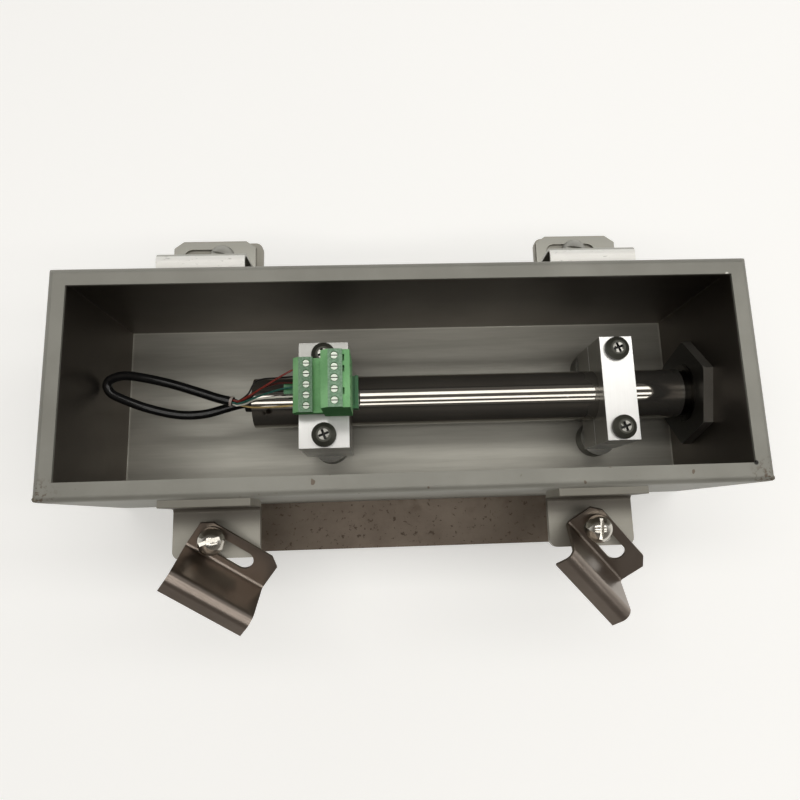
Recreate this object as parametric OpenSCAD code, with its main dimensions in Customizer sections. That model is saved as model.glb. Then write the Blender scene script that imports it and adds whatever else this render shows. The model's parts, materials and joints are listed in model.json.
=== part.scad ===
// Displacement transducer in an open steel enclosure, on a flat mounting plate.
// Millimetres. X runs along the enclosure, Y to its rear wall, Z up out of its mouth.
// The origin is the middle of the mounting plate's underside.

/* [Enclosure] */
// Outer length of the enclosure
box_length = 305.8; // [240:0.1:360]
// Outer width of the enclosure
box_width = 99.6; // [90:0.1:130]
// Outer height of the enclosure, plate not counted
box_height = 92.7; // [85:0.1:120]
// Sideways place of the enclosure on its plate
box_y = 0.4; // [-2:0.1:2]
// Sheet thickness of the enclosure
sheet_t = 2.4; // [1.2:0.1:3]
// Width of the lip turned in round the mouth
lip_width = 7.9; // [5:0.1:12]
// Outer radius of the sheet's bends
bend_r = 2.6; // [2.5:0.1:5]

/* [Mounting plate] */
// Length of the plate
plate_length = 203.2; // [200:0.1:290]
// Width of the plate
plate_width = 149; // [140:0.1:180]
// Thickness of the plate
plate_t = 3; // [2:0.1:6]
// Corner radius of the plate
plate_corner_r = 4; // [1:0.5:10]
// Diameter of the plate's fixing holes
plate_hole_d = 8.5; // [5:0.1:12]
// Distance between fixing holes along the box
plate_hole_pitch_x = 177.8; // [150:0.1:190]
// Distance between fixing holes across the box
plate_hole_pitch_y = 127; // [115:0.1:134]

/* [Clamp brackets] */
// Width of each angle bracket along the box
bracket_width = 39; // [30:0.1:44]
// Height of the bracket's leg
bracket_leg = 25.4; // [20:0.1:30]
// Reach of the bracket's shelf from the wall
bracket_reach = 25.4; // [22:0.1:30]
// Thickness of the bracket
bracket_t = 3.2; // [2:0.1:5]
// Depth of the leg's top edge below the box's rim
bracket_drop = 12; // [8:0.1:16]
// Corner radius of the shelf
bracket_corner_r = 3.5; // [1:0.1:6]
// Distance of the front left and rear left brackets from the middle
bracket_x_left = 87.3; // [70:0.1:100]
// Distance of the front right bracket from the middle
bracket_x_front_right = 83.6; // [70:0.1:100]
// Distance of the rear right bracket from the middle
bracket_x_rear_right = 86; // [70:0.1:100]

/* [Cover clamps] */
// Width of each spring clamp
clamp_width = 39.3; // [30:0.1:44]
// Depth of the clamp's flat
clamp_flat = 16.9; // [14:0.1:20]
// Height of the clamp's riser
clamp_rise = 25.8; // [20:0.1:28]
// Reach of the clamp's hook
clamp_hook = 8.1; // [4:0.1:8.4]
// Droop of the hook's end in degrees
clamp_hook_droop = 12; // [0:1:25]
// Sheet thickness of the clamp
clamp_t = 1.2; // [0.8:0.1:2]
// Bend radius at the hook
clamp_bend_r = 3.2; // [2:0.1:5]
// Width of the clamp's slot
slot_width = 8.4; // [8:0.1:9]
// Distance between the centres of the slot's ends
slot_travel = 16.2; // [8:0.1:20]
// Distance of the slot's first end from the clamp's end
slot_start = 9; // [8:0.1:14]
// Distance of the slot from the clamp's fold
slot_offset = 8.6; // [7.5:0.1:9.5]
// Corner cut along the fold
clamp_corner_x = 4.6; // [2:0.1:8]
// Corner cut across the fold
clamp_corner_y = 3.4; // [2:0.1:8]

/* [Clamp screws] */
// Shank diameter
clamp_screw_d = 6; // [4:0.1:6]
// Shank length below the head
clamp_screw_length = 22; // [16:1:30]
// Head diameter
clamp_head_d = 12.4; // [10:0.1:14]
// Head height
clamp_head_h = 4.4; // [3:0.1:5]
// Width of the driver slot
driver_slot_w = 1.6; // [1:0.1:2]
// Depth of the driver slot
driver_slot_deep = 1.9; // [1:0.1:2.5]
// Distance of the screws from the wall
clamp_screw_out = 17.7; // [15:0.1:19]

/* [Transducer] */
// Diameter of the transducer's body
tube_d = 25.4; // [20:0.1:28]
// Bore of the body tube
tube_bore = 21.4; // [16:0.1:24]
// Distance from the left wall to the body's cable end
tube_rear_gap = 77.4; // [60:0.1:90]
// Distance from the body's front end to the outside of the right wall
tube_front_gap = 11.3; // [10:0.1:20]
// Height of the body's axis above the floor
tube_height = 29.3; // [27:0.1:40]
// Sideways place of the body's axis
tube_y = 0.4; // [-5:0.1:5]
// Bore of the winding former
former_bore = 8; // [7:0.1:12]
// Depth of the cap in the body's cable end
cap_deep = 9; // [5:0.1:15]
// Length of the cable gland
gland_out = 5; // [3:0.1:6]
// Depth of the front fitting in the body
fitting_in = 14; // [8:0.1:20]
// Diameter of the front neck
neck_d = 23.6; // [18:0.1:25]
// Diameter of the bulkhead thread
thread_d = 30; // [26:0.1:32]
// Length of the thread beyond the wall
thread_out = 11; // [8:0.1:16]
// Width across the flats of the two locknuts
nut_flats = 46.5; // [40:0.1:50]
// Thickness of the inner locknut
nut_t = 4.8; // [3:0.1:7]
// Thickness of the outer locknut
outer_nut_t = 5.4; // [3:0.1:7]
// Turn of the inner locknut in degrees
nut_turn = 13.5; // [0:0.5:60]
// Diameter of the plunger rod
rod_d = 9.5; // [8:0.1:12]
// Length of the plunger rod
rod_length = 92; // [80:0.5:110]
// Diameter of the magnetic core
core_d = 6.2; // [4:0.1:6.4]
// Length of the magnetic core
core_length = 62; // [40:0.5:70]
// Diameter of the contact tip
tip_d = 14; // [11:0.1:18]
// Length of the contact tip
tip_length = 9; // [7:0.1:12]
// Distance from the wall to the front of the tip at rest
tip_out = 25.5; // [22:0.1:28]
// Travel of the plunger
plunger_travel = 50; // [20:1:60]

/* [Support blocks] */
// Length of both blocks across the box
block_length = 52; // [46:0.1:60]
// Width of the left block
block_left_width = 24.2; // [18:0.1:28]
// Width of the right block
block_right_width = 16.2; // [13:0.1:24]
// Distance from the body's cable end to the middle of the left block
block_left_in = 36.2; // [34:0.1:44]
// Distance from the middle of the right block to the outside of the right wall
block_right_in = 46.8; // [40:0.1:60]
// Height of each half of a block
block_half = 19; // [16:0.1:22]
// Gap between the halves
block_gap = 0.6; // [0.4:0.1:1.2]
// Distance between the two screws of a block
block_screw_pitch = 39.4; // [36:0.1:42]
// Diameter of the block screws' heads
block_head_d = 11.8; // [9:0.1:13]
// Height of the block screws' heads
block_head_h = 3.4; // [2:0.1:3.6]
// Diameter of the block screws' shanks
block_screw_d = 5; // [4:0.1:6]
// Length of the block screws
block_screw_length = 44; // [42:0.5:48]
// Diameter of the round spacers under the blocks
spacer_d = 19.2; // [14:0.1:22]

/* [Terminals] */
// Distance between neighbouring terminals
terminal_pitch = 5.08; // [5:0.01:5.08]
// Number of terminals in each strip
terminal_count = 5; // [3:1:5]
// Width of the base strip
terminal_base_width = 16; // [12:0.1:20]
// Reach of the base strip to the left of the block's middle
base_reach_left = 13.7; // [13:0.1:22]
// Length of the narrow tongue on the base strip's left end
tongue_length = 5; // [2:0.1:8]
// Width of the tongue
tongue_width = 5; // [3:0.1:8]
// Reach of the base strip to the right of the block's middle
base_reach_right = 16.9; // [15:0.1:20]
// Reach of the lower strip to the left of the block's middle
lower_reach = 13.7; // [13:0.1:18]
// Width of the lower strip
lower_width = 14.3; // [12:0.1:14.4]
// Width of the upper strip
upper_width = 13.1; // [12:0.1:16]
// Distance of the lower screws from their strip's left face
lower_screw_in = 6.4; // [5:0.1:8]
// Distance of the upper screws from their strip's left face
upper_screw_in = 6.3; // [5:0.1:8]
// Thickness of the base strip
terminal_base_t = 4; // [4:0.1:6]
// Height of the lower strip's top above its base
lower_top = 7; // [6:0.1:9]
// Height of the upper strip's top above its base
upper_top = 25; // [22:0.1:27]
// Sideways centre of the lower strip
lower_y = 3.45; // [2:0.05:5]
// Sideways centre of the upper strip
upper_y = 2.25; // [1:0.05:4]
// Diameter of the terminal screws
terminal_screw_d = 3.1; // [2.5:0.1:3.6]
// Depth of the wells that the screws sit in
screw_well = 1.2; // [1:0.1:2]
// Width of the wire windows
wire_window = 4.2; // [3:0.1:4.4]
// Width of the latch slots
latch_w = 0.8; // [0.6:0.1:1.2]
// Length of the latch slots
latch_l = 3; // [2:0.1:4]
// Terminals that have an open latch slot, counted from the front
latch_places = [1, 3, 4];
// Height of the wall round the base strip's free end
base_wall_h = 1.4; // [1:0.1:3]

/* [Cable and leads] */
// Diameter of the sensor cable
cable_d = 4.6; // [4:0.1:5]
// Diameter of the leads
lead_d = 0.9; // [0.8:0.1:1]
// Diameter of the pale ring at the cable's end
ring_d = 5.2; // [5.2:0.1:6]

/* [Hidden] */
$fn = 48;

// Shared clearances
run_gap = 0.05;
seat_gap = 0.05;
shelf_gap = 0.2;
strip_gap = 0.4;
cut = 1;

// Heights above the plate's underside
rim_z = plate_t + box_height;
floor_z = plate_t + sheet_t;
wall_y = box_width / 2;
wall_x = box_length / 2;
shelf_z = rim_z - bracket_drop - bracket_leg + bracket_t;
axis_z = floor_z + tube_height;
block_top_z = axis_z + block_half;
block_low_z = axis_z - block_half;
terminal_z = block_top_z + terminal_base_t;
strip_length = terminal_pitch * terminal_count + 1;

// Places along the box
tube_rear_x = tube_rear_gap - wall_x;
tube_front_x = wall_x - tube_front_gap;
block_left_x = tube_rear_x + block_left_in;
block_right_x = wall_x - block_right_in;
tip_front_x = wall_x + tip_out;
rod_rear_x = tip_front_x - tip_length - rod_length;
former_rear_x = tube_rear_x + cap_deep + 2;
former_front_x = rod_rear_x - 9.9;
lower_left_x = block_left_x - lower_reach;
lower_right_x = lower_left_x + lower_width;
lower_screw_x = lower_left_x + lower_screw_in;
upper_left_x = lower_right_x + strip_gap;
upper_right_x = upper_left_x + upper_width;
upper_screw_x = upper_left_x + upper_screw_in;

// Places of the four clamp screws
front_screw_y = box_y - wall_y - clamp_screw_out;
rear_screw_y = box_y + wall_y + clamp_screw_out;
rear_screw_z = shelf_z + shelf_gap + clamp_t + shelf_gap;
front_left_head_z = shelf_z + 9.3;
front_right_head_z = shelf_z + 11.4;

// Loose clamps in front: height of the pivot and the three turns
front_left_pivot_z = shelf_z + 4.4;
front_left_turn = [22, 15.4, -32.9];
front_right_pivot_z = shelf_z + 5.7;
front_right_turn = [27, 18, -46.2];
front_left_pin = slot_start + 0.4;
front_right_pin = slot_start + 1.8;
front_right_aside = 0.15;
rear_left_pin = 23.1;
rear_right_pin = 18.9;

// Rounded rectangle about the origin
module round_rect(l, w, r) {
    square([l - 2 * r, w], center = true);
    square([l, w - 2 * r], center = true);
    for (sx = [-1, 1])
        for (sy = [-1, 1])
            translate([sx * (l / 2 - r), sy * (w / 2 - r)])
                circle(r = r);
}

// Block rounded along all its edges, seen along each axis in turn
module soft_block(l, w, h, r) {
    intersection() {
        translate([0, 0, -h / 2])
            linear_extrude(h)
                round_rect(l, w, r);
        translate([-l / 2, 0, 0])
            rotate([90, 0, 90])
                linear_extrude(l)
                    round_rect(w, h, r);
        translate([0, w / 2, 0])
            rotate([90, 0, 0])
                linear_extrude(w)
                    round_rect(l, h, r);
    }
}

module enclosure() {
    color([0.55, 0.54, 0.49])
    difference() {
        translate([0, box_y, plate_t + box_height / 2])
            soft_block(box_length, box_width, box_height, bend_r);
        translate([0, box_y, plate_t + box_height / 2])
            soft_block(box_length - 2 * sheet_t, box_width - 2 * sheet_t,
                box_height - 2 * sheet_t, bend_r - sheet_t);
        translate([0, box_y, rim_z - sheet_t - cut])
            linear_extrude(sheet_t + 2 * cut)
                square([box_length - 2 * lip_width, box_width - 2 * lip_width], center = true);
        translate([wall_x - sheet_t - cut, tube_y, axis_z])
            rotate([0, 90, 0])
                cylinder(d = thread_d + 4 * seat_gap, h = sheet_t + 2 * cut, $fn = 96);
    }
}

module mounting_plate() {
    color([0.38, 0.34, 0.30])
    difference() {
        linear_extrude(plate_t)
            round_rect(plate_length, plate_width, plate_corner_r);
        for (sx = [-1, 1])
            for (sy = [-1, 1])
                translate([sx * plate_hole_pitch_x / 2, sy * plate_hole_pitch_y / 2, -cut])
                    cylinder(d = plate_hole_d, h = plate_t + 2 * cut);
    }
}

// Angle bracket whose leg lies on the plane y = 0 and whose shelf reaches to -Y
module bracket() {
    inner_r = 2;
    outer_r = inner_r + bracket_t;
    difference() {
        union() {
            translate([-bracket_width / 2, -bracket_t, outer_r])
                cube([bracket_width, bracket_t, bracket_leg - outer_r]);
            translate([0, -bracket_reach / 2, 0])
                intersection() {
                    linear_extrude(bracket_t)
                        round_rect(bracket_width, bracket_reach, bracket_corner_r);
                    translate([-bracket_width / 2, -bracket_reach / 2, 0])
                        cube([bracket_width, bracket_reach - outer_r, bracket_t]);
                }
            intersection() {
                translate([-bracket_width / 2, -outer_r, outer_r])
                    rotate([0, 90, 0])
                        difference() {
                            cylinder(r = outer_r, h = bracket_width);
                            translate([0, 0, -cut])
                                cylinder(r = inner_r, h = bracket_width + 2 * cut);
                        }
                translate([-bracket_width / 2, -outer_r, 0])
                    cube([bracket_width, outer_r, outer_r]);
            }
        }
        translate([0, -clamp_screw_out, -cut])
            cylinder(d = clamp_screw_d + 2 * run_gap, h = bracket_t + 2 * cut);
    }
}

module bracket_at(x, side) {
    color([0.58, 0.57, 0.53])
    translate([x, box_y + side * wall_y, shelf_z - bracket_t])
        mirror([0, side > 0 ? 1 : 0, 0])
            bracket();
}

module bracket_front_left() { bracket_at(-bracket_x_left, -1); }
module bracket_front_right() { bracket_at(bracket_x_front_right, -1); }
module bracket_rear_left() { bracket_at(-bracket_x_left, 1); }
module bracket_rear_right() { bracket_at(bracket_x_rear_right, 1); }

// Side view of a spring clamp: flat towards +X, riser, then the hook towards -X
module clamp_profile() {
    fold = -slot_offset;
    low_r = 1.4 + clamp_t;
    top_r = clamp_bend_r + clamp_t;
    riser_h = clamp_rise - top_r;
    translate([fold, 0])
        difference() {
            corner_block(clamp_flat, riser_h, low_r);
            translate([clamp_t, clamp_t])
                corner_block(clamp_flat, riser_h, low_r - clamp_t);
        }
    translate([fold - clamp_bend_r, riser_h])
        clamp_hook_profile(top_r);
}

// Rectangle from the origin with its first corner rounded
module corner_block(w, h, r) {
    translate([r, r])
        circle(r = r);
    translate([r, 0])
        square([w - r, h]);
    translate([0, r])
        square([w, h - r]);
}

// Upper bend about the origin, with the hook on it and a stub of the riser under it
module clamp_hook_profile(top_r) {
    reach = clamp_hook - clamp_bend_r;
    stub = 2;
    lap = 0.3;
    ease = 0.02;
    away = [-sin(clamp_hook_droop), cos(clamp_hook_droop)];
    intersection() {
        difference() {
            circle(r = top_r);
            circle(r = clamp_bend_r);
        }
        polygon([[0, 0], [2 * top_r, 0], [2 * top_r, 2 * top_r], 2 * top_r * away]);
    }
    rotate(clamp_hook_droop)
        translate([-reach, clamp_bend_r + ease])
            square([reach + lap, clamp_t - 2 * ease]);
    translate([clamp_bend_r, -stub])
        square([clamp_t, stub]);
}

// Spring clamp with its screw line at the origin: flat towards +Y, hook towards -Y
module clamp(pin, aside = 0) {
    far_y = clamp_flat - slot_offset;
    corner_turn = atan2(clamp_corner_y, clamp_corner_x);
    translate([-pin, aside, 0])
        difference() {
            rotate([90, 0, 90])
                linear_extrude(clamp_width)
                    clamp_profile();
            translate([slot_start, 0, -cut])
                cylinder(d = slot_width, h = clamp_t + 2 * cut);
            translate([slot_start + slot_travel, 0, -cut])
                cylinder(d = slot_width, h = clamp_t + 2 * cut);
            translate([slot_start, -slot_width / 2, -cut])
                cube([slot_travel, slot_width, clamp_t + 2 * cut]);
            translate([0, far_y - clamp_corner_y, -cut])
                rotate([0, 0, corner_turn])
                    translate([-clamp_corner_x, 0, 0])
                        cube([3 * clamp_corner_x, clamp_corner_x, clamp_t + 2 * cut]);
            translate([clamp_width, far_y - clamp_corner_y, -cut])
                rotate([0, 0, -corner_turn])
                    translate([-2 * clamp_corner_x, 0, 0])
                        cube([3 * clamp_corner_x, clamp_corner_x, clamp_t + 2 * cut]);
        }
}

module clamp_color() {
    color([0.62, 0.61, 0.58])
        children();
}

module clamp_front_left() {
    clamp_color()
        translate([-bracket_x_left, front_screw_y, front_left_pivot_z])
            rotate(front_left_turn)
                clamp(front_left_pin);
}

module clamp_front_right() {
    clamp_color()
        translate([bracket_x_front_right, front_screw_y, front_right_pivot_z])
            rotate(front_right_turn)
                clamp(front_right_pin, front_right_aside);
}

module clamp_rear_left() {
    clamp_color()
        translate([-bracket_x_left, rear_screw_y, shelf_z + shelf_gap])
            clamp(rear_left_pin);
}

module clamp_rear_right() {
    clamp_color()
        translate([bracket_x_rear_right, rear_screw_y, shelf_z + shelf_gap])
            clamp(rear_right_pin);
}

// Round-headed slotted screw, underside of the head at the origin
module clamp_screw(turn) {
    dome_r = (pow(clamp_head_d / 2, 2) + pow(clamp_head_h, 2)) / (2 * clamp_head_h);
    color([0.72, 0.71, 0.68])
    union() {
        difference() {
            intersection() {
                translate([0, 0, clamp_head_h - dome_r])
                    sphere(r = dome_r, $fn = 64);
                cylinder(d = clamp_head_d, h = clamp_head_h + cut);
            }
            rotate([0, 0, turn])
                translate([-clamp_head_d, -driver_slot_w / 2, clamp_head_h - driver_slot_deep])
                    cube([2 * clamp_head_d, driver_slot_w, clamp_head_h]);
        }
        translate([0, 0, -clamp_screw_length])
            cylinder(d = clamp_screw_d, h = clamp_screw_length);
    }
}

module clamp_screws_front() {
    translate([-bracket_x_left, front_screw_y, front_left_head_z])
        clamp_screw(17);
    translate([bracket_x_front_right, front_screw_y, front_right_head_z])
        clamp_screw(84);
}

module clamp_screws_rear() {
    translate([-bracket_x_left, rear_screw_y, rear_screw_z])
        clamp_screw(-14);
    translate([bracket_x_rear_right, rear_screw_y, rear_screw_z])
        clamp_screw(-12);
}

// Puts a shape drawn along +Z onto the transducer's axis, its base at x
module on_axis(x) {
    translate([x, tube_y, axis_z])
        rotate([0, 90, 0])
            children();
}

module ring(outer, inner, h) {
    difference() {
        cylinder(d = outer, h = h, $fn = 96);
        translate([0, 0, -cut])
            cylinder(d = inner, h = h + 2 * cut, $fn = 96);
    }
}

module transducer_tube() {
    color([0.30, 0.29, 0.27])
        on_axis(tube_rear_x)
            ring(tube_d, tube_bore, tube_front_x - tube_rear_x);
}

module winding_former() {
    color([0.55, 0.35, 0.18])
        on_axis(former_rear_x)
            ring(tube_bore - 2 * seat_gap, former_bore, former_front_x - former_rear_x);
}

module rear_cap() {
    color([0.16, 0.15, 0.14])
        on_axis(tube_rear_x)
            ring(tube_bore - 2 * seat_gap, cable_d + 2 * seat_gap, cap_deep);
}

module cable_gland() {
    color([0.05, 0.05, 0.05])
        on_axis(tube_rear_x - gland_out)
            ring(8.4, cable_d + 2 * seat_gap, gland_out);
}

module front_fitting() {
    thread_start = wall_x - sheet_t - nut_t - 0.6;
    color([0.42, 0.40, 0.37])
    difference() {
        union() {
            on_axis(tube_front_x - fitting_in)
                cylinder(d = tube_bore - 2 * seat_gap, h = fitting_in);
            on_axis(tube_front_x)
                cylinder(d = neck_d, h = thread_start - tube_front_x, $fn = 96);
            on_axis(thread_start)
                cylinder(d = thread_d, h = wall_x + thread_out - thread_start, $fn = 96);
        }
        on_axis(tube_front_x - fitting_in - cut)
            cylinder(d = rod_d + 2 * run_gap, h = wall_x + thread_out - tube_front_x
                + fitting_in + 2 * cut, $fn = 96);
    }
}

module locknut(t) {
    difference() {
        intersection() {
            cylinder(d = nut_flats / cos(30), h = t, $fn = 6);
            cylinder(d1 = nut_flats / cos(30) - 1.2, d2 = nut_flats / cos(30) + t, h = t, $fn = 96);
        }
        translate([0, 0, -cut])
            cylinder(d = thread_d + 2 * seat_gap, h = t + 2 * cut, $fn = 96);
    }
}

module inner_locknut() {
    color([0.66, 0.64, 0.58])
        on_axis(wall_x - sheet_t - nut_t)
            rotate([0, 0, 30 + nut_turn])
                locknut(nut_t);
}

module outer_locknut() {
    color([0.66, 0.64, 0.58])
        on_axis(wall_x + outer_nut_t)
            rotate([180, 0, 0])
                locknut(outer_nut_t);
}

module plunger_rod() {
    color([0.70, 0.69, 0.66])
        on_axis(rod_rear_x)
            cylinder(d = rod_d, h = rod_length, $fn = 64);
}

module magnetic_core() {
    color([0.35, 0.35, 0.36])
        on_axis(rod_rear_x - core_length)
            cylinder(d = core_d, h = core_length);
}

module contact_tip() {
    dome_r = 11;
    color([0.74, 0.73, 0.70])
        intersection() {
            on_axis(tip_front_x - tip_length)
                cylinder(d = tip_d, h = tip_length, $fn = 64);
            translate([tip_front_x - dome_r, tube_y, axis_z])
                sphere(r = dome_r, $fn = 64);
        }
}

// One half of a support block about its own axis, the split face on z = 0
module block_half_body(w, up) {
    low = up ? block_gap / 2 : -block_half;
    high = up ? block_half : -block_gap / 2;
    difference() {
        translate([-w / 2, -block_length / 2, low])
            cube([w, block_length, high - low]);
        translate([-w, 0, 0])
            rotate([0, 90, 0])
                cylinder(d = tube_d + 2 * seat_gap, h = 2 * w, $fn = 96);
        for (s = [-1, 1])
            translate([0, s * block_screw_pitch / 2, -block_half - cut])
                cylinder(d = block_screw_d + 4 * seat_gap, h = 2 * block_half + 2 * cut);
    }
}

module block_at(x, w, up) {
    color([0.86, 0.86, 0.85])
        translate([x, tube_y, axis_z])
            block_half_body(w, up);
}

module block_left_cap() { block_at(block_left_x, block_left_width, true); }
module block_left_base() { block_at(block_left_x, block_left_width, false); }
module block_right_cap() { block_at(block_right_x, block_right_width, true); }
module block_right_base() { block_at(block_right_x, block_right_width, false); }

module at_block_screws() {
    for (x = [block_left_x, block_right_x])
        for (s = [-1, 1])
            translate([x, tube_y + s * block_screw_pitch / 2, 0])
                children();
}

module block_spacers() {
    spacer_floor = 1.5;
    color([0.78, 0.78, 0.76])
        at_block_screws()
            difference() {
                translate([0, 0, floor_z])
                    cylinder(d = spacer_d, h = block_low_z - floor_z, $fn = 64);
                translate([0, 0, floor_z + spacer_floor])
                    cylinder(d = block_screw_d + 4 * seat_gap, h = block_low_z - floor_z);
            }
}

module block_screws() {
    color([0.10, 0.10, 0.10])
        at_block_screws()
            difference() {
                union() {
                    translate([0, 0, block_top_z])
                        cylinder(d = block_head_d, h = block_head_h * 0.55, $fn = 64);
                    translate([0, 0, block_top_z + block_head_h * 0.55])
                        cylinder(d1 = block_head_d, d2 = block_head_d * 0.62,
                            h = block_head_h * 0.45, $fn = 64);
                    translate([0, 0, block_top_z - block_screw_length])
                        cylinder(d = block_screw_d, h = block_screw_length);
                }
                for (a = [20, 110])
                    rotate([0, 0, a])
                        translate([-2.6, -0.6, block_top_z + block_head_h - 1.9])
                            cube([5.2, 1.2, 3]);
            }
}

// Extrudes a profile drawn in X and Z along Y, centred on y
module strip(y, length, points) {
    translate([0, y + length / 2, 0])
        rotate([90, 0, 0])
            linear_extrude(length)
                polygon(points);
}

// Puts its children at the middle of each terminal of a strip
module at_terminals(x, y, z) {
    for (i = [0 : terminal_count - 1])
        translate([x, y + (i - (terminal_count - 1) / 2) * terminal_pitch, z])
            children();
}

module terminal_base() {
    left = block_left_x - base_reach_left;
    length = base_reach_left + base_reach_right;
    front = tube_y - terminal_base_width / 2;
    wall = 1.6;
    lap = 1;
    color([0.10, 0.34, 0.16]) {
        translate([left, front, block_top_z])
            cube([length, terminal_base_width, terminal_base_t]);
        translate([left - tongue_length, tube_y, block_top_z])
            cube([tongue_length + lap, tongue_width, terminal_base_t]);
        translate([left + length - wall, front, terminal_z - lap])
            cube([wall, terminal_base_width, base_wall_h + lap]);
        translate([upper_right_x + seat_gap, front, terminal_z - lap])
            cube([left + length - upper_right_x - seat_gap, wall, base_wall_h + lap]);
    }
}

// Lower strip: left face, slope, band with the screws, then a step down
module terminal_strip_lower() {
    top = terminal_z + lower_top;
    face_drop = 2.2;
    band_left = lower_screw_x - 3.6;
    band_right = lower_screw_x + 3;
    step_drop = 3;
    wire_deep = 2;
    color([0.36, 0.62, 0.38])
    difference() {
        strip(lower_y, strip_length, [[lower_left_x, terminal_z], [lower_right_x, terminal_z],
            [lower_right_x, top - step_drop], [band_right, top - step_drop], [band_right, top],
            [band_left, top], [lower_left_x, top - face_drop]]);
        at_terminals(lower_screw_x, lower_y, top - screw_well)
            cylinder(d = terminal_screw_d + 0.6, h = screw_well + cut, $fn = 32);
        at_terminals(lower_left_x, lower_y, terminal_z + 0.9)
            translate([-cut, -wire_window / 2, 0])
                cube([wire_deep + cut, wire_window, 2.4]);
    }
}

// Upper strip: the same, taller, with wire windows on its right side
module terminal_strip_upper() {
    top = terminal_z + upper_top;
    face_drop = 2.6;
    band_left = upper_screw_x - 2.9;
    latch_x = upper_screw_x + 3.6;
    step_drop = 1.6;
    wire_deep = 4;
    color([0.45, 0.70, 0.46])
    difference() {
        strip(upper_y, strip_length, [[upper_left_x, terminal_z], [upper_right_x, terminal_z],
            [upper_right_x, top - step_drop], [latch_x, top - step_drop], [latch_x, top],
            [band_left, top], [upper_left_x, top - face_drop]]);
        at_terminals(upper_screw_x, upper_y, top - screw_well)
            cylinder(d = terminal_screw_d + 0.6, h = screw_well + cut, $fn = 32);
        at_terminals(upper_right_x, upper_y, top - 9)
            translate([-wire_deep, -wire_window / 2, 0])
                cube([wire_deep + cut, wire_window, 4.4]);
        for (i = latch_places)
            translate([latch_x, upper_y + (i - (terminal_count - 1) / 2) * terminal_pitch - 2.2,
                top - 5])
                cube([latch_w, latch_l, 5 + cut]);
    }
}

module terminal_screws(x, y, top) {
    color([0.84, 0.84, 0.80])
        at_terminals(x, y, top - screw_well)
            difference() {
                cylinder(d = terminal_screw_d, h = screw_well - 0.2, $fn = 32);
                translate([-terminal_screw_d, -0.25, screw_well - 0.7])
                    cube([2 * terminal_screw_d, 0.5, 1]);
            }
}

module terminal_screws_lower() {
    terminal_screws(lower_screw_x, lower_y, terminal_z + lower_top);
}

module terminal_screws_upper() {
    terminal_screws(upper_screw_x, upper_y, terminal_z + upper_top);
}

// Smooth curve through hand-chosen points
function blend_point(a, b, c, d, t) = 0.5 * ((2 * b) + (c - a) * t
    + (2 * a - 5 * b + 4 * c - d) * t * t + (3 * b - a - 3 * c + d) * t * t * t);
function smooth_path(p, n) = [for (i = [0 : len(p) - 2]) for (k = [0 : n - 1])
    blend_point(p[max(i - 1, 0)], p[i], p[i + 1], p[min(i + 2, len(p) - 1)], k / n),
    p[len(p) - 1]];
function unit(v) = v / norm(v);
function heading(p, i) = unit(p[min(i + 1, len(p) - 1)] - p[max(i - 1, 0)]);

module swept_round(p, d, sides) {
    n = len(p);
    points = [for (i = [0 : n - 1])
        let (t = heading(p, i), s = unit(cross(t, [0, 0, 1])), u = cross(s, t))
        for (k = [0 : sides - 1])
            p[i] + d / 2 * (cos(360 * k / sides) * s + sin(360 * k / sides) * u)];
    walls = [for (i = [0 : n - 2]) for (k = [0 : sides - 1])
        [i * sides + k, i * sides + (k + 1) % sides,
            (i + 1) * sides + (k + 1) % sides, (i + 1) * sides + k]];
    first = [[for (k = [0 : sides - 1]) sides - 1 - k]];
    last = [[for (k = [0 : sides - 1]) (n - 1) * sides + k]];
    polyhedron(points = points, faces = concat(walls, first, last));
}

// Route of the cable from inside the cap round the left end and back, from the cap's face
cable_home = [tube_rear_x, tube_y, axis_z];
cable_turns = [[2, 0, 0], [-6.5, 0, 0], [-14.5, -2, 0.3], [-25.5, -5, 1.3], [-37.5, -5.4, 2.8],
    [-51.5, -2.4, 4.8], [-63.5, 2.1, 6.3], [-70.1, 5.6, 7.3], [-71.9, 9.6, 8.3],
    [-69, 12.6, 9.3], [-60.5, 13.6, 10.3], [-42.5, 9.6, 11.3], [-25.5, 4, 12.3],
    [-16.5, 0.8, 12.9], [-8.5, -1.4, 13.3]];
cable_route = [for (p = cable_turns) cable_home + p];
cable_line = smooth_path(cable_route, 4);
cable_end = cable_line[len(cable_line) - 1];
cable_heading = heading(cable_line, len(cable_line) - 1);
end_side = unit(cross(cable_heading, [0, 0, 1]));
end_up = cross(end_side, cable_heading);
lead_circle = 1.25;
function lead_start(a) = cable_end + lead_circle * (cos(a) * end_side + sin(a) * end_up);
function lead_out(a) = [for (d = [0, 1.2, 2.6]) lead_start(a) + d * cable_heading];
lead_home = [lower_left_x, lower_y, terminal_z];
ring_length = 1.2;

module sensor_cable() {
    color([0.04, 0.04, 0.04])
        swept_round(cable_line, cable_d, 12);
}

module cable_ring() {
    color([0.80, 0.76, 0.74])
        translate(cable_end - (ring_length + 0.2) * cable_heading)
            rotate([0, acos(cable_heading[2]), atan2(cable_heading[1], cable_heading[0])])
                ring(ring_d, cable_d + 2 * seat_gap, ring_length);
}

// Lead from its place in the cable's end through points taken from the lower strip's foot
module lead(a, points) {
    route = [for (p = points) lead_home + p];
    swept_round(smooth_path(concat(lead_out(a), route), 4), lead_d, 8);
}

module lead_red() {
    color([0.42, 0.12, 0.10])
        lead(120, [[-24.4, -3.4, -6.1], [-13.8, 1.4, -0.9], [-6, 5.2, 2],
            [-1, 7.8, 2.3], [0.8, 8.4, 2.1], [2.4, 8.4, 2.1]]);
}

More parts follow.
